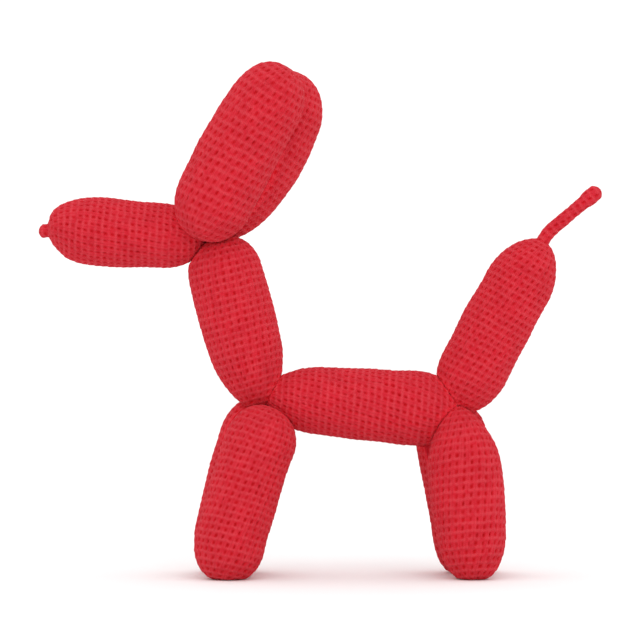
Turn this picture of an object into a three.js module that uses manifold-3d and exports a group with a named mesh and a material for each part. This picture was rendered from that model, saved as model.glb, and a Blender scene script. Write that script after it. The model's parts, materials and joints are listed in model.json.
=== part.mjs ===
// A crocheted and stuffed toy in the shape of the dog that a twisted party balloon makes.
// Millimetres, +Z up. It stands on z = 0, its nose points to -X and its left side is at -Y.
// Ten stuffed bubbles meet at three pinched joints: the head, the shoulder and the hip.

import * as THREE from "three";
import { mergeVertices } from "three/addons/utils/BufferGeometryUtils.js";
import Module from "manifold-3d";

const wasm = await Module();
wasm.setup();

// The crochet sets the sizes: a bubble is 30 stitches round, its tip and its knot are 6.
const stitchWidth = 4.4;
const bubbleRadius = (30 * stitchWidth) / (2 * Math.PI);
const thinRadius = (6 * stitchWidth) / (2 * Math.PI) - 0.3;

// The three pinched joints lie in the middle plane, y = 0.
const head = new THREE.Vector3(-67, 0, 203);
const shoulder = new THREE.Vector3(-34, 0, 104);
const hip = new THREE.Vector3(82, 0, 102);

// The paired ears and legs are pressed together at their joint and spread a little away from it.
const earRoot = 14;
const earSpread = 20;
const legRoot = 10;
const footSpread = 25;

// Pressed ends keep this gap, and the soles are pressed flat by this much.
const contactGap = 0.3;
const soleDepth = 1.6;

// How finely the round forms are faceted.
const sides = 24;
const thinSides = 12;
const capRings = 6;
const barrelRings = 6;

const yarnRed = new THREE.Color(0xd12c37);

// A stuffed bubble runs along a slightly bowed spine from its root to its end, with a blunt cap at
// each. Bow moves the middle of the spine towards +X, or up where the spine lies level, and swell
// fattens the middle. A cap is as long as it is given here, and its fullness runs from 2, which
// makes a ball, up to a blunter pad.
const plainBubble = {
  bow: 0,
  rootRadius: bubbleRadius,
  endRadius: bubbleRadius,
  swell: 0,
  rootCap: 25,
  endCap: 25,
  rootFullness: 2.3,
  endFullness: 2.3,
  sides,
};

function bubble(root, end, changes) {
  return { ...plainBubble, root, end, ...changes };
}

// A point given from a joint, along the toy, across it and up.
function from(joint, along, across, up) {
  return new THREE.Vector3(joint.x + along, joint.y + across, joint.z + up);
}

function onFloor(x, across) {
  return new THREE.Vector3(x, across, -soleDepth);
}

const muzzleBubble = bubble(from(head, -1, 0, -0.5), from(head, -96, 0, 5.4), {
  rootRadius: bubbleRadius - 2.7,
  endRadius: bubbleRadius + 0.6,
  rootCap: 28,
  endCap: 33,
  rootFullness: 2.2,
  endFullness: 2.15,
});

const leftEarBubble = bubble(from(head, -6, -earRoot, -1), from(head, 48.6, -earSpread, 100), {
  bow: -3,
  rootRadius: bubbleRadius + 2.2,
  endRadius: bubbleRadius + 0.2,
  swell: 1.3,
  rootCap: 29,
  endCap: 27,
  endFullness: 2.25,
});

const rightEarBubble = bubble(from(head, -2.3, earRoot, 3.4), from(head, 53.2, earSpread - 2.3, 100.5), {
  bow: 4.6,
  rootRadius: bubbleRadius + 0.8,
  endRadius: bubbleRadius + 4,
  swell: 3.9,
  rootCap: 33,
  endCap: 27,
  endFullness: 2,
});

const neckBubble = bubble(from(head, 5, 0, -0.5), from(shoulder, -0.6, 0, -3), {
  bow: -0.6,
  rootRadius: bubbleRadius + 1.2,
  endRadius: bubbleRadius - 2,
  swell: 2.2,
  endCap: 35,
  rootFullness: 2.5,
  endFullness: 2.05,
});

const bodyBubble = bubble(from(shoulder, 0, 0, 3.4), from(hip, 3, 0, -4), {
  bow: 0.3,
  rootRadius: bubbleRadius - 2.2,
  endRadius: bubbleRadius + 2.7,
  rootCap: 34,
  endCap: 33,
  rootFullness: 2,
  endFullness: 2.15,
});

const leftFrontLegBubble = bubble(from(shoulder, 6, -legRoot, -3), onFloor(-58.2, -footSpread), {
  bow: -2.3,
  rootRadius: bubbleRadius + 0.2,
  endRadius: bubbleRadius - 0.4,
  rootFullness: 2.2,
});

const rightFrontLegBubble = bubble(from(shoulder, 2.6, legRoot, 1), onFloor(-58, footSpread), {
  bow: -3.2,
  rootRadius: bubbleRadius + 0.2,
  endRadius: bubbleRadius + 1,
  rootCap: 27,
  endCap: 26,
});

const leftRearLegBubble = bubble(from(hip, -0.5, -legRoot, 0), onFloor(91.4, -footSpread), {
  bow: 1.1,
  rootRadius: bubbleRadius - 1,
  endRadius: bubbleRadius - 2.5,
  swell: 2.8,
  rootCap: 34,
  endCap: 28,
  rootFullness: 1.7,
});

const rightRearLegBubble = bubble(from(hip, -6.5, legRoot, 1), onFloor(93.5, footSpread), {
  bow: 0.5,
  rootRadius: bubbleRadius + 1.3,
  endRadius: bubbleRadius - 0.7,
  rootCap: 27,
  endCap: 23,
  rootFullness: 2.4,
  endFullness: 2.5,
});

const tailBubble = bubble(from(hip, -1.5, 0, -2), from(hip, 52.3, 0, 98.7), {
  bow: -1.5,
  endRadius: bubbleRadius - 0.7,
  rootCap: 29,
  endCap: 33,
  rootFullness: 2.1,
  endFullness: 1.95,
});

// The uninflated tip of the balloon bends back from the tail and ends in a small round knob.
const tipRoot = from(tailBubble.end, -4, 0, 0);
const tipBubble = bubble(tipRoot, from(tailBubble.end, 33.6, 0, 31.4), {
  rootRadius: thinRadius,
  endRadius: thinRadius,
  rootCap: 3,
  endCap: 4,
  endFullness: 2,
  sides: thinSides,
});
const knobRadius = thinRadius + 0.8;
const knobLength = 11;

// The knot of the balloon is a short stub on the nose.
const knotBubble = bubble(from(muzzleBubble.end, 5, 0, -2), from(muzzleBubble.end, -5.6, 0, -1.4), {
  rootRadius: thinRadius + 0.2,
  endRadius: thinRadius + 0.2,
  rootCap: 3,
  endCap: 3,
  sides: thinSides,
});

// Where along a cap a point lies, from 0 at the very end, gives how wide the bubble is there.
function capShare(distance, cap, fullness) {
  if (distance >= cap) return 1;
  const left = 1 - distance / cap;
  return (1 - left ** fullness) ** (1 / fullness);
}

function radiusAt(shape, distance, length) {
  const share = distance / length;
  const taper = THREE.MathUtils.lerp(shape.rootRadius, shape.endRadius, share);
  const full = taper + shape.swell * Math.sin(Math.PI * share) ** 2;
  const root = capShare(distance, shape.rootCap, shape.rootFullness);
  return full * root * capShare(length - distance, shape.endCap, shape.endFullness);
}

// The outline of half a bubble, close together in the caps and wide apart between them.
function halfOutline(shape, length) {
  const distances = [];
  for (let i = 1; i <= capRings; i += 1) {
    const turned = (i / capRings) * (Math.PI / 2);
    distances.push(shape.rootCap * (1 - Math.cos(turned) ** (2 / shape.rootFullness)));
  }
  const barrel = length - shape.rootCap - shape.endCap;
  for (let i = 1; i < barrelRings; i += 1) {
    distances.push(shape.rootCap + (i / barrelRings) * barrel);
  }
  for (let i = capRings; i >= 1; i -= 1) {
    const turned = (i / capRings) * (Math.PI / 2);
    distances.push(length - shape.endCap * (1 - Math.cos(turned) ** (2 / shape.endFullness)));
  }
  const rings = distances.map((distance) => new THREE.Vector2(radiusAt(shape, distance, length), distance));
  return [new THREE.Vector2(0, 0), ...rings, new THREE.Vector2(0, length)];
}

// The spine is a gentle arc in the upright plane that holds both its ends.
const across = new THREE.Vector3(0, 1, 0);

function spineOf(shape) {
  const middle = shape.root.clone().lerp(shape.end, 0.5);
  const sideways = new THREE.Vector3().subVectors(shape.end, shape.root).cross(across).normalize();
  if (sideways.x < 0) sideways.negate();
  middle.addScaledVector(sideways, 2 * shape.bow);
  return new THREE.QuadraticBezierCurve3(shape.root, middle, shape.end);
}

// A turned bubble stands on the Y axis. Each of its points moves to the same place round the spine.
function bendAlong(geometry, spine, length) {
  const place = geometry.attributes.position;
  for (let i = 0; i < place.count; i += 1) {
    const share = THREE.MathUtils.clamp(place.getY(i) / length, 0, 1);
    const forward = spine.getTangentAt(share);
    const outward = across.clone().addScaledVector(forward, -across.dot(forward)).normalize();
    const third = new THREE.Vector3().crossVectors(outward, forward);
    const point = spine.getPointAt(share);
    point.addScaledVector(outward, place.getX(i));
    point.addScaledVector(third, place.getZ(i));
    place.setXYZ(i, point.x, point.y, point.z);
  }
}

const mergeDistance = 1e-4;

function solidFrom(geometry) {
  geometry.deleteAttribute("normal");
  geometry.deleteAttribute("uv");
  const merged = mergeVertices(geometry, mergeDistance);
  const corners = merged.index.array;
  const triangles = [];
  for (let i = 0; i < corners.length; i += 3) {
    const [a, b, c] = corners.slice(i, i + 3);
    if (a !== b && b !== c && c !== a) triangles.push(a, b, c);
  }
  const vertProperties = new Float32Array(merged.attributes.position.array);
  const triVerts = new Uint32Array(triangles);
  return new wasm.Manifold(new wasm.Mesh({ numProp: 3, vertProperties, triVerts }));
}

function stuffed(shape) {
  const spine = spineOf(shape);
  const length = spine.getLength();
  const geometry = new THREE.LatheGeometry(halfOutline(shape, length), shape.sides);
  bendAlong(geometry, spine, length);
  return solidFrom(geometry);
}

// Everything on the far side of a plane, as one block that is larger than the toy.
const blockSize = 800;

function blockBeyond(point, normal) {
  const block = new THREE.BoxGeometry(blockSize, blockSize, blockSize);
  block.translate(0, 0, blockSize / 2);
  block.applyQuaternion(new THREE.Quaternion().setFromUnitVectors(new THREE.Vector3(0, 0, 1), normal));
  block.translate(point.x, point.y, point.z);
  return solidFrom(block);
}

// Two round ends that are pushed together meet in a flat disc. It lies square to the line between
// the centres of the two ends, nearer to the smaller one.
function endBall(shape, joint) {
  const spine = spineOf(shape);
  const atRoot = shape.root.distanceTo(joint) < shape.end.distanceTo(joint);
  const radius = atRoot ? shape.rootRadius : shape.endRadius;
  const share = radius / spine.getLength();
  return { centre: spine.getPointAt(atRoot ? share : 1 - share), radius };
}

function pressed(solid, own, other) {
  const towards = new THREE.Vector3().subVectors(other.centre, own.centre);
  const apart = towards.length();
  const reach = (apart ** 2 + own.radius ** 2 - other.radius ** 2) / (2 * apart) - contactGap / 2;
  towards.normalize();
  const point = own.centre.clone().addScaledVector(towards, reach);
  return solid.subtract(blockBeyond(point, towards));
}

// The two legs of a pair lie side by side along most of their length, so the flat between them is
// the toy's middle plane.
function pressedSideways(solid, own) {
  const inward = new THREE.Vector3(0, own.centre.y < 0 ? 1 : -1, 0);
  return solid.subtract(blockBeyond(inward.clone().multiplyScalar(-contactGap / 2), inward));
}

const isLeg = (name) => name.endsWith("leg");

const shapes = {
  muzzle: muzzleBubble,
  left_ear: leftEarBubble,
  right_ear: rightEarBubble,
  neck: neckBubble,
  body: bodyBubble,
  left_front_leg: leftFrontLegBubble,
  right_front_leg: rightFrontLegBubble,
  left_rear_leg: leftRearLegBubble,
  right_rear_leg: rightRearLegBubble,
  tail: tailBubble,
};

const gatherings = [
  [head, ["muzzle", "left_ear", "right_ear", "neck"]],
  [shoulder, ["neck", "body", "left_front_leg", "right_front_leg"]],
  [hip, ["body", "tail", "left_rear_leg", "right_rear_leg"]],
];

const solids = Object.fromEntries(Object.entries(shapes).map(([name, shape]) => [name, stuffed(shape)]));

for (const [joint, names] of gatherings) {
  for (const name of names) {
    for (const other of names) {
      if (other === name) continue;
      const ownBall = endBall(shapes[name], joint);
      const otherBall = endBall(shapes[other], joint);
      const paired = isLeg(name) && isLeg(other);
      solids[name] = paired
        ? pressedSideways(solids[name], ownBall)
        : pressed(solids[name], ownBall, otherBall);
    }
  }
}

// The tip and the knot are crocheted in one with their bubble.
const tipSpine = spineOf(tipBubble);
const knobShare = 1 - knobLength / tipSpine.getLength();
const knobBubble = {
  ...tipBubble,
  root: tipSpine.getPointAt(knobShare),
  rootRadius: knobRadius,
  endRadius: knobRadius,
  rootCap: 4,
};
solids.tail = solids.tail.add(stuffed(tipBubble)).add(stuffed(knobBubble));
solids.muzzle = solids.muzzle.add(stuffed(knotBubble));

const floor = new THREE.Vector3(0, 0, 0);
const down = new THREE.Vector3(0, 0, -1);
for (const name of Object.keys(solids)) {
  if (isLeg(name)) solids[name] = solids[name].subtract(blockBeyond(floor, down));
}

function meshNamed(name, solid) {
  const { vertProperties, triVerts } = solid.getMesh();
  const geometry = new THREE.BufferGeometry();
  geometry.setAttribute("position", new THREE.BufferAttribute(vertProperties, 3));
  geometry.setIndex(new THREE.BufferAttribute(triVerts, 1));
  geometry.computeVertexNormals();
  const yarn = new THREE.MeshStandardMaterial({ color: yarnRed, roughness: 0.9, metalness: 0 });
  const mesh = new THREE.Mesh(geometry, yarn);
  mesh.name = name;
  return mesh;
}

const toy = new THREE.Group();
for (const [name, solid] of Object.entries(solids)) toy.add(meshNamed(name, solid));

export default toy;
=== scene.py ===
# %% [markdown]
# # A crocheted balloon dog
# The toy is a soft copy of the dog that a twisted party balloon makes. Ten stuffed bubbles of red
# cotton crochet meet at three pinched joints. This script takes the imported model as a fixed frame
# and dresses each of its solids in a skin of real stitches, worked round by round as a crocheter
# works them.

# %% Load the model as a fixed frame
import json
import math
from dataclasses import dataclass, fields

import bpy
import numpy as np
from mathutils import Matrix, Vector

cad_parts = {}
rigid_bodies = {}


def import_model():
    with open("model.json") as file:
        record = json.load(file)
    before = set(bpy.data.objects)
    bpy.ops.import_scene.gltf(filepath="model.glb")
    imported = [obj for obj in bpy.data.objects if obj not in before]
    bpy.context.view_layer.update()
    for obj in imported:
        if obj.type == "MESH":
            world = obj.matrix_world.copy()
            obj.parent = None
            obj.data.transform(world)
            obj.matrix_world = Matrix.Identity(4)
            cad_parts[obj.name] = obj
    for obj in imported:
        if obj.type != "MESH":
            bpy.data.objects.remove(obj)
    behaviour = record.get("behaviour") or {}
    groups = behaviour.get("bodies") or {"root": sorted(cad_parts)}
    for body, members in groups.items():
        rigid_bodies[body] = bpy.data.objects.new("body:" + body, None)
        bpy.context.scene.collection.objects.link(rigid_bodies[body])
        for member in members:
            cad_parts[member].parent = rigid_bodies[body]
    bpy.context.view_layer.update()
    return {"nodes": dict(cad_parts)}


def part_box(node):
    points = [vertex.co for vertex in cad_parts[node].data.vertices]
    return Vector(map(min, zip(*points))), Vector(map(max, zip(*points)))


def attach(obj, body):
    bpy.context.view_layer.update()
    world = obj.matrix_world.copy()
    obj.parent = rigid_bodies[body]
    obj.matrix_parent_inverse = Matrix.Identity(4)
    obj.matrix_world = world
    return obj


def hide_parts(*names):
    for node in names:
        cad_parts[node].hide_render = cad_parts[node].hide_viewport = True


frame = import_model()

print("solids to dress:", ", ".join(sorted(frame["nodes"])))

# %% [markdown]
# ## The yarn and the stitch
# One single crochet stitch in a medium cotton yarn is a little wider than high. Every size of the
# toy follows from it: a bubble is thirty stitches round, and the thin tip of the balloon is six,
# pulled a little tighter. Lengths here are in millimetres, which suits a stitch, and become metres
# when a mesh is made.

# %% Sizes that the yarn gives
METRES = 0.001
STITCH_WIDTH = 4.4
ROUND_HEIGHT = 4.3
MOST_STITCHES = 30
FEWEST_STITCHES = 6
TIP_TIGHTNESS = 0.3
BUBBLE_RADIUS = MOST_STITCHES * STITCH_WIDTH / (2 * math.pi)
THIN_RADIUS = FEWEST_STITCHES * STITCH_WIDTH / (2 * math.pi) - TIP_TIGHTNESS
print(f"bubble radius {BUBBLE_RADIUS:.1f} mm, tip radius {THIN_RADIUS:.1f} mm")

# %% [markdown]
# ## The bubbles
# A stuffed tube has a middle line, a thickness along it and two rounded ends. These few sizes are
# those of the solids in the frame. A bubble could also be read back from the solid's faces, but
# then the stitches would follow its flat facets, so the round form is stated here again and its
# box is compared with the solid's. A hand doesn't keep one tension from bubble to bubble, so each
# has its own height of a round and its own drift. The drift is how far each round starts further on
# than the last, as a share of a stitch.


# %% What describes a bubble
@dataclass(frozen=True)
class ThinEnd:
    """The uninflated end of the balloon: a thin tube that goes on from a bubble's end.

    Its tip may be a knob, as long as knob_length and thicker than the tube by knob_extra.
    """

    root: tuple
    end: tuple
    radius: float
    cap: float
    knob_length: float = 0.0
    knob_extra: float = 0.0


@dataclass(frozen=True)
class Bubble:
    """A stuffed tube from its root, at a joint, to its end.

    Bow moves the middle of its line towards the tail, or up where it lies level, and swell fattens
    its middle. A cap is the length over which an end closes. A fullness of 2 makes the end round,
    more makes it blunter and less a little pointed.
    """

    root: tuple
    end: tuple
    bow: float = 0.0
    root_radius: float = BUBBLE_RADIUS
    end_radius: float = BUBBLE_RADIUS
    swell: float = 0.0
    root_cap: float = 25.0
    end_cap: float = 25.0
    root_fullness: float = 2.3
    end_fullness: float = 2.3
    round_height: float = ROUND_HEIGHT
    drift: float = 0.15
    thin_end: ThinEnd = None


print("a bubble is described by:", ", ".join(field.name for field in fields(Bubble)))

# %% The joints and how far the pairs spread
HEAD = (-67.0, 0.0, 203.0)
SHOULDER = (-34.0, 0.0, 104.0)
HIP = (82.0, 0.0, 102.0)
EAR_ROOT = 14.0
LEG_ROOT = 10.0
EAR_SPREAD = 20.0
FOOT_SPREAD = 25.0
SOLE_DEPTH = 1.6
print(f"head to shoulder {math.dist(HEAD, SHOULDER):.0f} mm, to hip {math.dist(SHOULDER, HIP):.0f} mm more")


# %% Points given from a joint or on the floor
def beside(point, along, across, up):
    """A point given from another, along the toy, across it and up."""
    return (point[0] + along, point[1] + across, point[2] + up)


def on_floor(along, across):
    """The end of a leg, just below the floor, where the sole is pressed flat."""
    return (along, across, -SOLE_DEPTH)


NOSE = beside(HEAD, -96, 0, 5.4)
TAIL_END = beside(HIP, 52.3, 0, 98.7)
print(f"nose {NOSE[2]:.0f} mm and tail end {TAIL_END[2]:.0f} mm above the floor")

# %% The ten bubbles
BUBBLES = {
    "muzzle": Bubble(
        beside(HEAD, -1, 0, -0.5), NOSE,
        root_radius=BUBBLE_RADIUS - 2.7, end_radius=BUBBLE_RADIUS + 0.6,
        root_cap=28, end_cap=33, root_fullness=2.2, end_fullness=2.15,
        round_height=3.95, drift=0.11,
        thin_end=ThinEnd(
            beside(NOSE, 5, 0, -2), beside(NOSE, -5.6, 0, -1.4),
            radius=THIN_RADIUS + 0.2, cap=3.0,
        ),
    ),
    "left_ear": Bubble(
        beside(HEAD, -6, -EAR_ROOT, -1), beside(HEAD, 48.6, -EAR_SPREAD, 100), bow=-3,
        root_radius=BUBBLE_RADIUS + 2.2, end_radius=BUBBLE_RADIUS + 0.2, swell=1.3,
        root_cap=29, end_cap=27, end_fullness=2.25,
        round_height=5.2, drift=0.18,
    ),
    "right_ear": Bubble(
        beside(HEAD, -2.3, EAR_ROOT, 3.4), beside(HEAD, 53.2, EAR_SPREAD - 2.3, 100.5), bow=4.6,
        root_radius=BUBBLE_RADIUS + 0.8, end_radius=BUBBLE_RADIUS + 4, swell=3.9,
        root_cap=33, end_cap=27, end_fullness=2.0,
        round_height=4.5,
    ),
    "neck": Bubble(
        beside(HEAD, 5, 0, -0.5), beside(SHOULDER, -0.6, 0, -3), bow=-0.6,
        root_radius=BUBBLE_RADIUS + 1.2, end_radius=BUBBLE_RADIUS - 2, swell=2.2,
        end_cap=35, root_fullness=2.5, end_fullness=2.05,
        drift=0.1,
    ),
    "body": Bubble(
        beside(SHOULDER, 0, 0, 3.4), beside(HIP, 3, 0, -4), bow=0.3,
        root_radius=BUBBLE_RADIUS - 2.2, end_radius=BUBBLE_RADIUS + 2.7,
        root_cap=34, end_cap=33, root_fullness=2.0, end_fullness=2.15,
        round_height=3.95, drift=0.2,
    ),
    "left_front_leg": Bubble(
        beside(SHOULDER, 6, -LEG_ROOT, -3), on_floor(-58.2, -FOOT_SPREAD), bow=-2.3,
        root_radius=BUBBLE_RADIUS + 0.2, end_radius=BUBBLE_RADIUS - 0.4,
        root_fullness=2.2,
        drift=0.12,
    ),
    "right_front_leg": Bubble(
        beside(SHOULDER, 2.6, LEG_ROOT, 1), on_floor(-58, FOOT_SPREAD), bow=-3.2,
        root_radius=BUBBLE_RADIUS + 0.2, end_radius=BUBBLE_RADIUS + 1,
        root_cap=27, end_cap=26,
        drift=0.12,
    ),
    "left_rear_leg": Bubble(
        beside(HIP, -0.5, -LEG_ROOT, 0), on_floor(91.4, -FOOT_SPREAD), bow=1.1,
        root_radius=BUBBLE_RADIUS - 1, end_radius=BUBBLE_RADIUS - 2.5, swell=2.8,
        root_cap=34, end_cap=28, root_fullness=1.7,
        round_height=4.7,
    ),
    "right_rear_leg": Bubble(
        beside(HIP, -6.5, LEG_ROOT, 1), on_floor(93.5, FOOT_SPREAD), bow=0.5,
        root_radius=BUBBLE_RADIUS + 1.3, end_radius=BUBBLE_RADIUS - 0.7,
        root_cap=27, end_cap=23, root_fullness=2.4, end_fullness=2.5,
        round_height=4.5,
    ),
    "tail": Bubble(
        beside(HIP, -1.5, 0, -2), TAIL_END, bow=-1.5,
        end_radius=BUBBLE_RADIUS - 0.7,
        root_cap=29, end_cap=33, root_fullness=2.1, end_fullness=1.95,
        drift=0.2,
        thin_end=ThinEnd(
            beside(TAIL_END, -4, 0, 0), beside(TAIL_END, 33.6, 0, 31.4),
            radius=THIN_RADIUS, cap=4.0, knob_length=11.0, knob_extra=0.8,
        ),
    ),
}
print(len(BUBBLES), "bubbles")

# %% [markdown]
# ## The middle line
# The middle of a bubble is a gentle arc. It could be drawn as a Blender curve, but as plain points
# it can be measured and joined freely. Where a thin end goes on from it, the two lines are joined
# and the corner is smoothed, so that the rounds of stitches turn it without a kink.

# %% The arc of a bubble
ACROSS = np.array([0.0, 1.0, 0.0])
STEP = 0.5
CURVE_POINTS = 401


def unit(vectors):
    """Vectors scaled to length one."""
    return vectors / np.linalg.norm(vectors, axis=-1, keepdims=True)


def lengths_along(points):
    """How far along a line of points each point lies."""
    steps = np.linalg.norm(np.diff(points, axis=0), axis=1)
    return np.concatenate([[0.0], np.cumsum(steps)])


def points_at(places, along, points):
    """Points of a line at places, given how far along it each of its own points lies."""
    return np.stack([np.interp(places, along, points[:, axis]) for axis in range(3)], axis=-1)


def evenly(points):
    """The same line with a point at every half millimetre or so."""
    along = lengths_along(points)
    places = np.linspace(0, along[-1], int(round(along[-1] / STEP)) + 1)
    return points_at(places, along, points)


def bowed_line(bubble):
    """The arc from a bubble's root to its end."""
    root = np.array(bubble.root, float)
    end = np.array(bubble.end, float)
    sideways = unit(np.cross(end - root, ACROSS))
    if sideways[0] < 0:
        sideways = -sideways
    control = (root + end) / 2 + 2 * bubble.bow * sideways
    share = np.linspace(0, 1, CURVE_POINTS)[:, None]
    curve = (1 - share) ** 2 * root + 2 * share * (1 - share) * control + share**2 * end
    return evenly(curve)


print(f"the body's arc is {lengths_along(bowed_line(BUBBLES['body']))[-1]:.0f} mm long")

# %% The whole middle line
CORNER = 7.0
SMOOTHINGS = 3


def middle_line(bubble):
    """The middle line of a bubble, with that of its thin end where it has one."""
    line = bowed_line(bubble)
    if bubble.thin_end is None:
        return line
    along = lengths_along(line)
    kept = line[along < along[-1] - CORNER]
    thin = evenly(np.array([bubble.thin_end.root, bubble.thin_end.end], float))
    thin = thin[lengths_along(thin) > CORNER]
    joined = evenly(np.concatenate([kept, thin]))
    width = int(CORNER / STEP)
    side = width // 2
    average = np.ones(width) / width
    for _ in range(SMOOTHINGS):
        inner = [np.convolve(joined[:, axis], average, mode="valid") for axis in range(3)]
        joined[side:side + len(inner[0])] = np.stack(inner, axis=1)
    return evenly(joined)


print(f"the tail's line is {lengths_along(middle_line(BUBBLES['tail']))[-1]:.0f} mm long with its tip")

# %% [markdown]
# ## The outline
# The thickness is nearly even, tapers a little, swells in the middle and closes in a blunt cap at
# each end. The arc length over this outline matters as much as the length of the middle line,
# because the rounds of stitches are counted over the surface, caps and all.


# %% How a cap closes and how values fade
def cap_share(distance, cap, fullness):
    """Runs from 0 at the very end of a cap to 1 where the cap is over."""
    left = 1 - np.clip(distance / cap, 0, 1)
    return (1 - left**fullness) ** (1 / fullness)


def smooth_step(low, high, values):
    """Runs softly from 0 at low to 1 at high."""
    share = np.clip((values - low) / (high - low), 0, 1)
    return share * share * (3 - 2 * share)


print(f"5 mm from its end, a plain cap is {cap_share(5, Bubble.end_cap, Bubble.end_fullness):.0%} open")

# %% How thick a bubble is at each distance
ROUND_FULLNESS = 2.0
KNOB_SLOPE = 2.0
SOFT_UNION = 5


def thin_radii(thin, distances, own_length, whole_length):
    """The thickness of the thin end, which grows from nothing inside the end of its bubble."""
    to_tip = whole_length - distances
    radii = thin.radius * cap_share(np.clip(to_tip, 0, None), thin.cap, ROUND_FULLNESS)
    if thin.knob_length:
        knob = smooth_step(-KNOB_SLOPE, KNOB_SLOPE, thin.knob_length - to_tip)
        radii = radii * (1 + thin.knob_extra / thin.radius * knob)
    return radii * smooth_step(own_length - 2 * CORNER, own_length - CORNER, distances)


def radii_along(bubble, distances, own_length, whole_length):
    """The thickness of the bubble, and of its thin end where it has one."""
    share = np.clip(distances / own_length, 0, 1)
    full = bubble.root_radius + (bubble.end_radius - bubble.root_radius) * share
    full = full + bubble.swell * np.sin(np.pi * share) ** 2
    root = cap_share(distances, bubble.root_cap, bubble.root_fullness)
    end = cap_share(np.clip(own_length - distances, 0, None), bubble.end_cap, bubble.end_fullness)
    radii = full * root * end
    if bubble.thin_end is None:
        return radii
    thin = thin_radii(bubble.thin_end, distances, own_length, whole_length)
    return (radii**SOFT_UNION + thin**SOFT_UNION) ** (1 / SOFT_UNION)


# %% [markdown]
# ## Pressed ends
# Where bubbles are pinched together they press each other flat, as soap bubbles do. The flat lies
# square to the line between the balls that sit in the two ends. The two legs of a pair lie side by
# side along most of their length, so their flat is the toy's middle plane. Each flat reaches a
# little past the middle between the two, so that no light shows through. The floor presses the
# soles flat too, and they stay just above it, which leaves room for their stitches.

# %% The flats between bubbles that meet
GATHERINGS = (
    (HEAD, ("muzzle", "left_ear", "right_ear", "neck")),
    (SHOULDER, ("neck", "body", "left_front_leg", "right_front_leg")),
    (HIP, ("body", "tail", "left_rear_leg", "right_rear_leg")),
)
PRESS = 0.1
FLOOR_CLEARANCE = 0.35


@dataclass(frozen=True)
class Flat:
    """A plane that a bubble is pressed against, and the direction back into the bubble."""

    point: np.ndarray
    inward: np.ndarray
    is_floor: bool = False


def end_ball(bubble, joint):
    """The ball in the end of a bubble that lies at a joint."""
    line = bowed_line(bubble)
    along = lengths_along(line)
    at_root = math.dist(bubble.root, joint) < math.dist(bubble.end, joint)
    radius = bubble.root_radius if at_root else bubble.end_radius
    place = radius if at_root else along[-1] - radius
    return points_at(place, along, line), radius


def is_leg(name):
    """Whether a bubble is one of the four legs."""
    return name.endswith("leg")


def flat_between(name, other, joint):
    """The flat of a bubble against another that it meets at a joint."""
    centre, radius = end_ball(BUBBLES[name], joint)
    if is_leg(name) and is_leg(other):
        side = math.copysign(1, centre[1])
        return Flat(np.array([0, -side * PRESS, 0]), np.array([0, side, 0]))
    far_centre, far_radius = end_ball(BUBBLES[other], joint)
    apart = np.linalg.norm(far_centre - centre)
    reach = (apart**2 + radius**2 - far_radius**2) / (2 * apart) + PRESS
    towards = (far_centre - centre) / apart
    return Flat(centre + towards * reach, -towards)


def flats_of(name):
    """The flats of a bubble. The last one of a leg is its sole."""
    flats = [
        flat_between(name, other, joint)
        for joint, names in GATHERINGS if name in names
        for other in names if other != name
    ]
    if is_leg(name):
        flats.append(Flat(np.array([0, 0, FLOOR_CLEARANCE]), np.array([0, 0, 1]), is_floor=True))
    return flats


print("flats of the body:", len(flats_of("body")), "and of a leg:", len(flats_of("left_rear_leg")))

# %% [markdown]
# ## Pressing the skin
# Cutting the meshes with each other would leave sharp edges. Instead each point past a flat is
# moved back onto it, and the points near its edge follow softly, which leaves the rounded groove
# that two stuffed bubbles make. Stitches in a flat are squashed to less than half of their height.
# The crease is also told to the finish, which paints its yarn a little paler as painted light, for the
# light that bounces between two bubbles, because the joints of the real toy look softer than these would.

# %% Points moved back onto the flats
FOLD = 0.6
FLAT_RELIEF = 0.45
CREASE_WIDTH = 4.0


def pressed(points, flats):
    """The moved points, how much height their stitches keep, and how near a crease they are."""
    points = points.copy()
    free = np.ones(len(points))
    crease = np.zeros(len(points))
    for flat in flats:
        depth = (points - flat.point) @ flat.inward
        eased = (depth + FOLD) ** 2 / (4 * FOLD)
        kept = np.where(depth > FOLD, depth, np.where(depth < -FOLD, 0.0, eased))
        points += (kept - depth)[:, None] * flat.inward
        free = np.minimum(free, FLAT_RELIEF + (1 - FLAT_RELIEF) * smooth_step(0, FOLD, kept))
        if not flat.is_floor:
            crease = np.maximum(crease, 1 - smooth_step(0, CREASE_WIDTH, kept))
    for flat in flats:
        depth = (points - flat.point) @ flat.inward
        points -= np.minimum(depth, 0)[:, None] * flat.inward
    return points, free, crease


# %% [markdown]
# ## The smooth skin
# The skin turns a place on the surface, an arc length from the root and an angle round the bubble,
# into a point in space. A hand-stuffed toy is never quite even, so low waves stand for the lumps
# of the filling. They fade out in the thin ends, which hold next to none.

# %% The skin of one bubble
SKIN_SAMPLES = 8001
NEIGHBOUR = 0.4
LUMP_HEIGHT = 0.2
LUMP_WAVES = 7
SLOWEST_WAVE = 0.14
FASTEST_WAVE = 0.34


def width_share(radii):
    """Runs from 0 at a pole to 1 where the bubble is half as thick as usual."""
    return smooth_step(0, BUBBLE_RADIUS / 2, radii)


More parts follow.
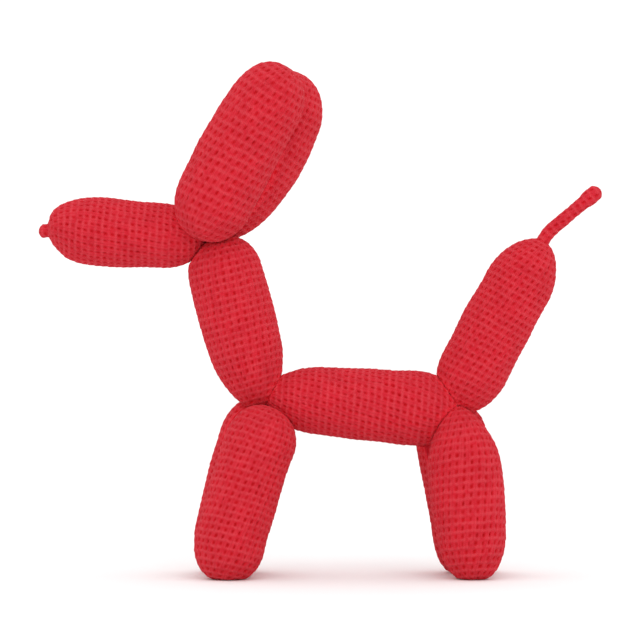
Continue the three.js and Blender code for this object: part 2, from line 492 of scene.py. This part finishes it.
class Skin:
    """Gives points of a bubble's smooth surface, and the directions out of it."""

    def __init__(self, name, seed):
        bubble = BUBBLES[name]
        self.flats = flats_of(name)
        self.line = middle_line(bubble)
        self.along = lengths_along(self.line)
        own_length = lengths_along(bowed_line(bubble))[-1]
        whole_length = self.along[-1]
        self.distances = np.linspace(0, whole_length, SKIN_SAMPLES)
        self.radii = radii_along(bubble, self.distances, own_length, whole_length)
        self.radii[[0, -1]] = 0.0
        steps = np.hypot(np.diff(self.distances), np.diff(self.radii))
        self.arcs = np.concatenate([[0.0], np.cumsum(steps)])
        self.length = self.arcs[-1]
        chance = np.random.default_rng(seed)
        directions = unit(chance.normal(size=(LUMP_WAVES, 3)))
        self.waves = directions * chance.uniform(SLOWEST_WAVE, FASTEST_WAVE, (LUMP_WAVES, 1))
        self.phases = chance.uniform(0, 2 * np.pi, LUMP_WAVES)

    def radius(self, arcs):
        """The thickness at each arc length."""
        return np.interp(arcs, self.arcs, self.radii)

    def lumps(self, surface, radii):
        """How far the filling lifts each point of the surface."""
        waves = np.sin(surface @ self.waves.T + self.phases).sum(axis=1) / LUMP_WAVES
        return LUMP_HEIGHT * math.sqrt(LUMP_WAVES) * waves * width_share(radii)

    def points(self, arcs, angles):
        """Points on the surface before the stitches are raised, with what pressed() says of them."""
        distances = np.interp(arcs, self.arcs, self.distances)
        radii = self.radius(arcs)
        centres = points_at(distances, self.along, self.line)
        ahead = points_at(distances + STEP, self.along, self.line)
        behind = points_at(distances - STEP, self.along, self.line)
        forward = unit(ahead - behind)
        outward = unit(ACROSS - (forward @ ACROSS)[:, None] * forward)
        third = np.cross(forward, outward)
        spoke = np.cos(angles)[:, None] * outward + np.sin(angles)[:, None] * third
        surface = centres + radii[:, None] * spoke
        surface += self.lumps(surface, radii)[:, None] * spoke
        return pressed(surface, self.flats)

    def outward(self, arcs, angles):
        """Directions straight out of the surface, found from close neighbours of each point."""
        low = np.clip(arcs - NEIGHBOUR, 0, None)
        high = np.clip(arcs + NEIGHBOUR, None, self.length)
        turn = NEIGHBOUR / np.maximum(self.radius(arcs), NEIGHBOUR)
        lengthwise = self.points(high, angles)[0] - self.points(low, angles)[0]
        around = self.points(arcs, angles + turn)[0] - self.points(arcs, angles - turn)[0]
        return unit(np.cross(around, lengthwise))


print(f"the body measures {Skin('body', seed=0).length:.0f} mm over its surface from pole to pole")

# %% [markdown]
# ## One stitch
# Seen from outside, a single crochet stitch is a V. Two strands rise from one hole, lean away from
# each other and join the neighbours' strands in a ridge that runs round the bubble. Between the
# feet of two stitches is the small dark hole that the hook went through. Strands could be modelled
# as thousands of separate tubes, but one closed sheet whose points sit on the crests and in the
# hollows gives the same look and stays one clean mesh. Ten columns of points cross a stitch, from
# the middle of one hole to just before the middle of the next.

# %% Where the columns and rows of a stitch lie
ROWS = np.array([0.0, 0.14, 0.3, 0.48, 0.66, 0.84])
ARM = np.array([0.12, 0.12, 0.14, 0.18, 0.22, 0.20])
HOLE_FLOOR = 0.08
HOLE_RIM = 0.23
RIM_GAP = 0.08
COLUMNS = 10


def stitch_columns(rows):
    """Places across the stitch, from -0.5 to 0.5, of the ten columns at each row."""
    arm = np.interp(rows, ROWS, ARM)
    middle = 0 * rows
    inner = 0.5 * arm
    rim = np.maximum(0.5 - HOLE_RIM, arm + RIM_GAP)
    floor = middle + 0.5 - HOLE_FLOOR
    right = [inner, arm, rim, floor]
    left = [-side for side in reversed(right)]
    return np.stack([middle - 0.5] + left + [middle] + right, axis=-1)


print(f"a stitch has {len(ROWS)} rows of {COLUMNS} points")

# %% How high the stitch stands at each column and row
CREST = np.array([0.08, 0.12, 0.16, 0.20, 0.30, 0.26])
FORK = np.array([-0.06, 0.00, -0.02, -0.04, 0.04, -0.04])
HOLE = np.array([0.00, -0.45, -0.70, -0.50, 0.08, 0.16])
# RIDGE weighs the painted highlight that each row of a stitch gets.
RIDGE = np.array([0.35, 0.35, 0.4, 0.4, 0.9, 0.8])
HOLE_DEPTH = -HOLE.min()
INNER_SHARE = 0.72
RIM_SHARE = 0.82
FLOOR_SHARE = 0.15


def stitch_heights(rows, crest_more, hole_more):
    """Height over the smooth skin in millimetres, for each row, stitch and column."""
    crest = np.interp(rows, ROWS, CREST)[:, None] + crest_more
    fork = np.interp(rows, ROWS, FORK)[:, None] + 0.5 * crest_more
    hole = np.interp(rows, ROWS, HOLE)[:, None] * (1 + hole_more)
    inner = fork + INNER_SHARE * (crest - fork)
    rim = hole + RIM_SHARE * (crest - hole)
    floor = hole + FLOOR_SHARE * (crest - hole)
    return np.stack([hole, floor, rim, crest, inner, fork, inner, crest, rim, floor], axis=-1)


print(f"its holes are {HOLE_DEPTH:.1f} mm deep and its ridge is {CREST.max():.1f} mm high")

# %% [markdown]
# ## Rounds of stitches
# A crocheter starts a bubble with six stitches, adds six in each round until it is wide enough, and
# takes them away again at the other end. Here the width of the skin decides: each round takes the
# multiple of six that keeps its stitches near their usual width. Every round starts a little
# further on than the last, because the foot of a stitch never sits straight over the one below.


# %% The plan of the rounds
def stitch_count(radius):
    """How many stitches fit a round, in whole sixes."""
    sixes = round(2 * math.pi * radius / (FEWEST_STITCHES * STITCH_WIDTH))
    return FEWEST_STITCHES * min(max(sixes, 1), MOST_STITCHES // FEWEST_STITCHES)


def plan_rounds(skin, round_height):
    """The number of stitches in each round, and the height of a round."""
    rounds = int(round(skin.length / round_height))
    height = skin.length / rounds
    counts = [stitch_count(float(skin.radius((k + 0.5) * height))) for k in range(rounds)]
    return counts, height


for example in (3, 8, 13, 21):
    print(f"a round with a radius of {example} mm takes {stitch_count(example)} stitches")

# %% [markdown]
# ## The unevenness of a hand
# No two stitches are quite alike. Each has its own height, hole, sideways shift and depth of dye,
# and the rounds stray a little along the bubble. Copies of one perfect stitch would look made by a
# machine. The draws start from fixed seeds, so the toy comes out the same every time.

# %% How far the stitches and the rounds stray
CREST_CHANCE = 0.06
HOLE_CHANCE = 0.25
SHIFT_CHANCE = 0.035
WOBBLE = 0.05
WOBBLE_TURNS = (3, 5, 8, 11)


def wobble(rounds, angles, chance):
    """How far each point strays along the bubble, as a share of a round's height."""
    strays = []
    for turns in WOBBLE_TURNS:
        lean = chance.uniform(-1, 1)
        start = chance.uniform(0, 6)
        strays.append(np.sin(turns * angles + rounds * lean + start))
    return WOBBLE * sum(strays) / math.sqrt(len(WOBBLE_TURNS))


print(f"a round strays by up to about {WOBBLE * ROUND_HEIGHT * math.sqrt(len(WOBBLE_TURNS)):.1f} mm")


# %% The rings of points that the rounds are made of
@dataclass(frozen=True)
class Ring:
    """A row of points that crosses all the stitches of a round, and how much of a ridge it is."""

    arc: float
    ridge: float
    angles: np.ndarray
    heights: np.ndarray
    tones: np.ndarray


def worked_rings(bubble, counts, height, chance):
    """The rings of every round, from the root to the end."""
    rings = []
    turned = 0.0
    for k, count in enumerate(counts):
        width = 2 * math.pi / count
        # The first row of the first round would lie on the pole itself.
        rows = ROWS[1:] if k == 0 else ROWS
        shifts = chance.normal(0, SHIFT_CHANCE, (1, count, 1))
        places = stitch_columns(rows)[:, None, :] + bubble.drift * rows[:, None, None] + shifts
        # The column in the middle of a hole belongs to two stitches and shifts by their mean.
        places[:, :, :1] += (np.roll(shifts, 1, axis=1) - shifts) / 2
        angles = turned + width * (np.arange(count)[None, :, None] + places)
        crest_more = chance.normal(0, CREST_CHANCE, (1, count))
        hole_more = chance.normal(0, HOLE_CHANCE, (1, count))
        heights = stitch_heights(rows, crest_more, hole_more)
        tones = np.repeat(chance.uniform(0, 1, count), COLUMNS)
        for row, at_angles, at_heights in zip(rows, angles, heights):
            arc = (k + row) * height
            ridge = np.interp(row, ROWS, RIDGE)
            rings.append(Ring(arc, ridge, at_angles.ravel(), at_heights.ravel(), tones))
        turned += bubble.drift * width
    return rings


# %% [markdown]
# ## From rings to a mesh
# Rings with the same number of points join column to column. Where the number changes, the two
# rings are zipped: the closer next point of either ring makes the next triangle. A remesh or a
# shrinkwrap would be easier, but it would blur the stitches.


# %% Zip two rings of different sizes
def zipped(lower, upper, lower_first, upper_first):
    """Triangles between two rings of angles. Both run once round, and start where they are closest."""
    full = 2 * math.pi
    gap = (upper - lower[0] + math.pi) % full - math.pi
    start = int(np.argmin(np.abs(gap)))
    upper_order = [(start + k) % len(upper) for k in range(len(upper) + 1)]
    lower_order = [k % len(lower) for k in range(len(lower) + 1)]
    upper_turn = [gap[start] + (upper[k] - upper[start]) % full for k in upper_order]
    lower_turn = [(lower[k] - lower[0]) % full for k in lower_order]
    upper_turn[-1] = gap[start] + full
    lower_turn[-1] = full
    triangles = []
    low = 0
    high = 0
    while low < len(lower) or high < len(upper):
        upper_done = high == len(upper)
        lower_left = low < len(lower)
        below = lower_first + lower_order[low]
        above = upper_first + upper_order[high]
        if upper_done or (lower_left and lower_turn[low + 1] < upper_turn[high + 1]):
            low += 1
            triangles.append((below, lower_first + lower_order[low], above))
        else:
            high += 1
            triangles.append((below, upper_first + upper_order[high], above))
    return triangles


three, four = (np.linspace(0, 2 * math.pi, count, endpoint=False) for count in (3, 4))
print(len(zipped(three, four, 0, len(three))), "triangles zip a ring of three points to one of four")

# %% [markdown]
# ## Across and along the strands
# The plies of the yarn follow its strands, so the finish has to know where on a strand each place
# lies. A cloth would be unwrapped for that. Here the mesh already runs strand by strand, so each
# face is simply told how far across and along its strand it is.

# %% Where the faces lie on their strands
LEFT_STRAND = np.array([-1.3, -1.0, -0.4, 0.0, 0.45, 0.9])
RIGHT_STRAND = -LEFT_STRAND[::-1]
STRAND_COLUMNS = COLUMNS // 2
STRAND_SHIFT = 0.7


def strand_places(size, low, high):
    """For each face of a ring its corners across the strand, about -1 to 1, and along it, in millimetres.

    Each strand is shifted a little against the one before, so that their plies don't line up.
    """
    column = np.arange(size)
    side = column % STRAND_COLUMNS
    on_left = column % COLUMNS < STRAND_COLUMNS
    left = np.where(on_left, LEFT_STRAND[side], RIGHT_STRAND[side])
    right = np.where(on_left, LEFT_STRAND[side + 1], RIGHT_STRAND[side + 1])
    shift = STRAND_SHIFT * (column // STRAND_COLUMNS)
    low = low + shift
    high = high + shift
    return np.stack([left, low, right, low, right, high, left, high], axis=1)


# %% Join the rings and close the poles
def joined_rings(rings, arcs):
    """The quads, the triangles and the strand places of the quads' corners.

    The two poles are numbered after the points of all rings.
    """
    quads = []
    strands = []
    triangles = []
    first = 0
    for ring, above in zip(rings, rings[1:]):
        size = len(ring.angles)
        next_first = first + size
        if size == len(above.angles):
            column = np.arange(size)
            following = (column + 1) % size
            corners = [first + column, first + following, next_first + following, next_first + column]
            quads.append(np.stack(corners, axis=1))
            strands.append(strand_places(size, arcs[first], arcs[next_first]))
        else:
            triangles += zipped(ring.angles, above.angles, first, next_first)
        first = next_first
    root_size = len(rings[0].angles)
    end_size = len(rings[-1].angles)
    root_pole = first + end_size
    end_pole = root_pole + 1
    triangles += [(root_pole, (k + 1) % root_size, k) for k in range(root_size)]
    triangles += [(first + k, first + (k + 1) % end_size, end_pole) for k in range(end_size)]
    return np.concatenate(quads), np.array(triangles), np.concatenate(strands).reshape(-1, 2)


# %% [markdown]
# ## A whole bubble
# A bubble is worked in the order of the craft: the rounds are planned and worked, laid on the skin,
# raised to stitches and closed at both poles. Thin ends are pulled tight, so their stitches stand
# less high. Four marks go with every point, because the finish can't measure the mesh by itself:
# how deep in a hollow it lies, the tone of its stitch, whether it is on a ridge, and how near a
# crease it is.


# %% Work a bubble
@dataclass(frozen=True)
class Crochet:
    """One crocheted bubble as arrays. Its marks tell the finish something about every point."""

    points: np.ndarray
    quads: np.ndarray
    triangles: np.ndarray
    strand: np.ndarray
    marks: dict


HAND_SEED = 1000
THIN_RELIEF = 0.55
HOLLOW_BELOW = 0.1
PLAIN_TONE = 0.5


def with_poles(values, at_poles):
    """The values of all ring points, with one more for each pole."""
    return np.append(values, [at_poles, at_poles])


def crocheted(name, seed):
    """Works a bubble from its root to its end."""
    bubble = BUBBLES[name]
    skin = Skin(name, seed)
    counts, height = plan_rounds(skin, bubble.round_height)
    chance = np.random.default_rng(seed + HAND_SEED)
    rings = worked_rings(bubble, counts, height, chance)
    sizes = [len(ring.angles) for ring in rings]
    ridges = np.repeat([ring.ridge for ring in rings], sizes)
    angles = np.concatenate([ring.angles for ring in rings])
    heights = np.concatenate([ring.heights for ring in rings])
    tones = np.concatenate([ring.tones for ring in rings])
    arcs = np.repeat([ring.arc for ring in rings], sizes)
    strays = height * wobble(arcs / height, angles, chance)
    arcs = arcs + strays * smooth_step(0, BUBBLE_RADIUS, skin.radius(arcs))
    smooth, free, crease = skin.points(arcs, angles)
    slender = THIN_RELIEF + (1 - THIN_RELIEF) * width_share(skin.radius(arcs))
    relief = heights * free * slender
    raised = smooth + relief[:, None] * skin.outward(arcs, angles)
    poles = skin.points(np.array([0.0, skin.length]), np.zeros(2))[0]
    quads, triangles, strand = joined_rings(rings, arcs)
    kept_heights = with_poles(heights * free, 0)
    marks = {
        "hollow": np.clip((HOLLOW_BELOW - kept_heights) / (HOLE_DEPTH + HOLLOW_BELOW), 0, 1),
        "tone": with_poles(tones, PLAIN_TONE),
        "ridge": with_poles(ridges * free, 0),
        "crease": with_poles(crease, 0),
    }
    print(f"{name}: {len(counts)} rounds, {len(quads) * 2 + len(triangles)} triangles")
    return Crochet(np.concatenate([raised, poles]), quads, triangles, strand, marks)


# %% [markdown]
# ## Into Blender
# The arrays go into a mesh in one step each, which is far faster than point by point. The strand
# places become a UV map and the marks become attributes, where the finish can read them.


# %% Make the piece
def piece_from(name, crochet):
    """A Blender object of one crocheted bubble, in metres."""
    corners = np.concatenate([crochet.quads.ravel(), crochet.triangles.ravel()]).astype(np.int32)
    sizes = np.repeat([4, 3], [len(crochet.quads), len(crochet.triangles)])
    starts = (np.cumsum(sizes) - sizes).astype(np.int32)
    mesh = bpy.data.meshes.new(name)
    mesh.vertices.add(len(crochet.points))
    mesh.vertices.foreach_set("co", (crochet.points * METRES).astype(np.float32).ravel())
    mesh.loops.add(len(corners))
    mesh.loops.foreach_set("vertex_index", corners)
    mesh.polygons.add(len(sizes))
    mesh.polygons.foreach_set("loop_start", starts)
    mesh.update(calc_edges=True)
    mesh.validate()
    mesh.polygons.foreach_set("use_smooth", np.ones(len(sizes), bool))
    layer = mesh.uv_layers.new(name="strand")
    places = np.zeros((len(corners), 2), np.float32)
    places[:len(crochet.strand)] = crochet.strand
    layer.data.foreach_set("uv", places.ravel())
    for title, values in crochet.marks.items():
        attribute = mesh.attributes.new(title, "FLOAT", "POINT")
        attribute.data.foreach_set("value", values.astype(np.float32))
    mesh.update()
    piece = bpy.data.objects.new(name, mesh)
    bpy.context.scene.collection.objects.link(piece)
    return piece


# %% [markdown]
# ## Shader sums as plain expressions
# A finish is easier to read as sums than as a web of nodes. A value wraps the socket of a node, and
# each sum on values adds the node that works it out.


# %% A value
class Value:
    """A socket of a shader, which can be used in sums."""

    def __init__(self, finish, socket):
        self.finish = finish
        self.socket = socket

    def _with(self, operation, first, second=None):
        inputs = {0: first} if second is None else {0: first, 1: second}
        return self.finish.node("ShaderNodeMath", {"operation": operation}, inputs, "Value")

    def __add__(self, other):
        return self._with("ADD", self, other)

    __radd__ = __add__

    def __mul__(self, other):
        return self._with("MULTIPLY", self, other)

    __rmul__ = __mul__

    def __sub__(self, other):
        return self._with("SUBTRACT", self, other)

    def __rsub__(self, other):
        return self._with("SUBTRACT", other, self)

    def __pow__(self, power):
        return self._with("POWER", self, power)

    def sine(self):
        return self._with("SINE", self)

    def absolute(self):
        return self._with("ABSOLUTE", self)

    def other_output(self, output):
        """Another output of the same node."""
        return Value(self.finish, self.socket.node.outputs[output])


# %% A finish
class Finish:
    """A material and its nodes."""

    def __init__(self, name):
        self.material = bpy.data.materials.new(name)
        self.material.use_nodes = True
        self.tree = self.material.node_tree
        self.tree.nodes.clear()

    def node(self, kind, settings, inputs, output):
        """Adds a node, sets it, fills its sockets and gives the named output."""
        made = self.tree.nodes.new(kind)
        for key, value in settings.items():
            setattr(made, key, value)
        for key, value in inputs.items():
            socket = made.inputs[key]
            if isinstance(value, Value):
                self.tree.links.new(value.socket, socket)
            else:
                socket.default_value = value
        return Value(self, made.outputs[output])

    def mark(self, title):
        """What the mesh says about each of its points."""
        return self.node("ShaderNodeAttribute", {"attribute_name": title}, {}, "Fac")

    def noise(self, place, scale, detail):
        """Soft random values around one half."""
        inputs = {"Vector": place, "Scale": scale, "Detail": detail}
        return self.node("ShaderNodeTexNoise", {}, inputs, "Fac")

    def mixed(self, share, first, second):
        """Two colours mixed by a share. The node's colours are its inputs 6 and 7 and output 2."""
        return self.node("ShaderNodeMix", {"data_type": "RGBA"}, {0: share, 6: first, 7: second}, 2)

    def scaled(self, colour, factor):
        """A colour made lighter or darker by a factor."""
        inputs = {0: colour, "Scale": factor}
        return self.node("ShaderNodeVectorMath", {"operation": "SCALE"}, inputs, 0)

    def done(self, surface):
        """Connects the surface to the material's output."""
        output = self.tree.nodes.new("ShaderNodeOutputMaterial")
        self.tree.links.new(surface.socket, output.inputs["Surface"])
        return self.material


# %% [markdown]
# ## The twist of the yarn
# Yarn is spun from plies, which show as fine slanting ribs along each strand, with finer fibres
# between them. As geometry they would need millions of faces, so they are drawn by a sine along the
# strand and by noise that is stretched with it.

# %% Plies and fibres
PLY_LENGTH = 1.15
PLY_SLANT = 0.6
FIBRES_IN_PLY = 5
FIBRE_RUN = 0.8
TONE_RUN = 7


def twisted(finish, across, along, tone):
    """The plies and the fibres of the yarn, both from 0 to 1. Each stitch has fibres of its own."""
    turns = along * (1 / PLY_LENGTH) + across * PLY_SLANT
    plies = (turns * math.pi).sine().absolute()
    streaks = finish.node(
        "ShaderNodeCombineXYZ", {},
        {"X": turns * FIBRES_IN_PLY, "Y": along * FIBRE_RUN, "Z": tone * TONE_RUN}, "Vector",
    )
    return plies, finish.noise(streaks, scale=1.0, detail=2.0)


# %% [markdown]
# ## The colour of the yarn
# The hollows between strands are painted a deeper red, which is painted shade: light there has bounced
# from yarn to yarn. The ridges catch fluff, and their paler specks are a painted highlight of it. The
# dye is uneven: it changes a little from stitch to stitch, in streaks along the fibres and in patches
# the size of a few stitches.

# %% The reds and how far each shade strays
YARN_RED = (0.583, 0.010, 0.024, 1)
RIDGE_HIGHLIGHT_RED = (0.622, 0.036, 0.052, 1)
HOLLOW_PAINTED_SHADE = (0.52, 0.001, 0.006, 1)
HOLLOW_CURVE = 0.8
PATCH_SCALE = 90.0
SPECK_SCALE = 420.0
SPECK_CONTRAST = 2.4
SPECK_LEVEL = 0.3
SPECK_TONE = 0.2
BASE_SHADE = 0.86
TONE_SHADE = 0.04
PLY_PAINTED_SHADE = 0.12
FIBRE_SHADE = 0.16
PATCH_SHADE = 0.2
CREASE_PAINTED_LIGHT = 0.24


def yarn_colour(finish, tone, plies, fibre):
    """The red of every place of the yarn."""
    place = finish.node("ShaderNodeTexCoord", {}, {}, "Object")
    patch = finish.noise(place, PATCH_SCALE, detail=1.0)
    speck = finish.noise(place, SPECK_SCALE, detail=0.0)
    # Painted highlight: the ridges are painted paler in specks, for the fluff on them that catches the
    # light.
    painted_highlight = finish.mark("ridge") * (speck * SPECK_CONTRAST - SPECK_LEVEL + tone * SPECK_TONE)
    outside = finish.mixed(painted_highlight, YARN_RED, RIDGE_HIGHLIGHT_RED)
    # Painted shade: the deeper a point lies in a hollow, the darker the red painted there.
    colour = finish.mixed(finish.mark("hollow") ** HOLLOW_CURVE, outside, HOLLOW_PAINTED_SHADE)
    # The tone, fibre and patch terms are uneven dye; the ply term is painted shade, darker in the grooves
    # between plies.
    shade = BASE_SHADE + tone * TONE_SHADE + plies * PLY_PAINTED_SHADE
    shade = shade + (fibre - 0.5) * FIBRE_SHADE + (patch - 0.5) * PATCH_SHADE
    # Painted light: yarn near a crease is painted paler, for light that bounces between two bubbles.
    lifted = shade * (1 + finish.mark("crease") * CREASE_PAINTED_LIGHT)
    return finish.scaled(colour, lifted)


# %% [markdown]
# ## The surface of the yarn
# Soft cotton yarn is matt, with a faint bloom of loose fibre at grazing angles. The bump rounds each
# strand and raises its plies and fibres. It is low, because the stitches themselves are real.

# %% Red cotton yarn
STRAND_BUMP = 0.35
PLY_BUMP = 0.4
FIBRE_BUMP = 0.25
BUMP_DEPTH = 0.4
LEAST_ROUGHNESS = 0.86
FIBRE_ROUGHNESS = 0.1
FLUFF_PINK = (1.0, 0.55, 0.55, 1)


def cotton_yarn():
    """The finish of every crocheted piece."""
    finish = Finish("red cotton yarn")
    tone = finish.mark("tone")
    strand = finish.node("ShaderNodeUVMap", {"uv_map": "strand"}, {}, "UV")
    across = finish.node("ShaderNodeSeparateXYZ", {}, {0: strand}, "X")
    along = across.other_output("Y")
    plies, fibre = twisted(finish, across, along, tone)
    roundness = 1 - across * across
    height = roundness * STRAND_BUMP + plies * PLY_BUMP + fibre * FIBRE_BUMP
    bump = finish.node(
        "ShaderNodeBump", {},
        {"Height": height, "Strength": 0.8, "Distance": BUMP_DEPTH * METRES}, "Normal",
    )
    surface = finish.node(
        "ShaderNodeBsdfPrincipled", {},
        {
            "Base Color": yarn_colour(finish, tone, plies, fibre),
            "Roughness": LEAST_ROUGHNESS + fibre * FIBRE_ROUGHNESS,
            "Normal": bump,
            "Specular IOR Level": 0.17,
            "Sheen Weight": 0.06,
            "Sheen Roughness": 0.5,
            "Sheen Tint": FLUFF_PINK,
        },
        "BSDF",
    )
    return finish.done(surface)


yarn = cotton_yarn()
print(f"{yarn.name}: {len(yarn.node_tree.nodes)} nodes")

# %% [markdown]
# ## Dress the solids
# Each bubble stands in for one solid and moves with the only body. The real one is a stuffed skin,
# nearly full of polyester fibre. The cell prints how far the box of each goes beyond that of its
# solid, which is less than a millimetre, mostly for the stitches.

# %% Work all the bubbles
FIRST_SEED = 11
for seed, name in enumerate(BUBBLES, start=FIRST_SEED):
    piece = piece_from(f"crocheted_{name}", crocheted(name, seed))
    piece.data.materials.append(yarn)
    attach(piece, "root")
    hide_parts(name)
    low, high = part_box(name)
    made = np.array(piece.bound_box) / METRES
    print(f"  beyond the solid by {np.round(np.array(low) / METRES - made.min(axis=0), 1)}"
          f" and {np.round(made.max(axis=0) - np.array(high) / METRES, 1)} mm")

# %% [markdown]
# ## Floor, light and camera
# A plain white floor and a white sky give the soft, almost shadowless light of a catalogue picture.
# One large lamp, above the camera and a little to its right, gives the bubbles their form. The
# camera stands well away with a long lens, so that near and far legs look nearly the same size.

# %% The floor
FLOOR_RADIUS = 8.0
FLOOR_SIDES = 96
FLOOR_WHITE = (0.93, 0.93, 0.93, 1)
floor_finish = Finish("plain white floor")
floor_surface = floor_finish.node(
    "ShaderNodeBsdfPrincipled", {}, {"Base Color": FLOOR_WHITE, "Roughness": 0.9}, "BSDF"
)
bpy.ops.mesh.primitive_circle_add(vertices=FLOOR_SIDES, radius=FLOOR_RADIUS, fill_type="NGON")
floor = bpy.context.object
floor.name = "floor"
floor.data.materials.append(floor_finish.done(floor_surface))
print(f"the floor is {2 * FLOOR_RADIUS:.0f} m wide")

# %% The sky
SKY_STRENGTH = 1.12
world = bpy.data.worlds.new("white sky")
world.use_nodes = True
sky = world.node_tree.nodes["Background"]
sky.inputs["Color"].default_value = (1, 1, 1, 1)
sky.inputs["Strength"].default_value = SKY_STRENGTH
bpy.context.scene.world = world
print("sky strength", SKY_STRENGTH)

# %% The lamp
LAMP_PLACE = (0.25, -1.6, 1.5)
LAMP_TARGET = (0, 0, 0.15)
LAMP_SIZE = 1.4
LAMP_POWER = 8
light = bpy.data.lights.new("key", "AREA")
light.size = LAMP_SIZE
light.energy = LAMP_POWER
lamp = bpy.data.objects.new("key", light)
lamp.location = LAMP_PLACE
towards_target = Vector(LAMP_TARGET) - Vector(LAMP_PLACE)
lamp.rotation_euler = towards_target.to_track_quat("-Z", "Y").to_euler()
bpy.context.scene.collection.objects.link(lamp)
print(f"the lamp is {towards_target.length:.1f} m from the toy")

# %% The camera, level with the middle of the toy
PICTURE_WIDTH = 0.384
CAMERA_DISTANCE = 1.8
CAMERA_HEIGHT = 0.1535
SENSOR = 36.0
camera_data = bpy.data.cameras.new("camera")
camera_data.sensor_width = SENSOR
camera_data.lens = SENSOR * CAMERA_DISTANCE / PICTURE_WIDTH
camera = bpy.data.objects.new("camera", camera_data)
camera.location = (0, -CAMERA_DISTANCE, CAMERA_HEIGHT)
camera.rotation_euler = (math.pi / 2, 0, 0)
bpy.context.scene.collection.objects.link(camera)
bpy.context.scene.camera = camera
bpy.context.scene.view_settings.view_transform = "Standard"
print(f"a lens of {camera_data.lens:.0f} mm, {CAMERA_DISTANCE} m away")
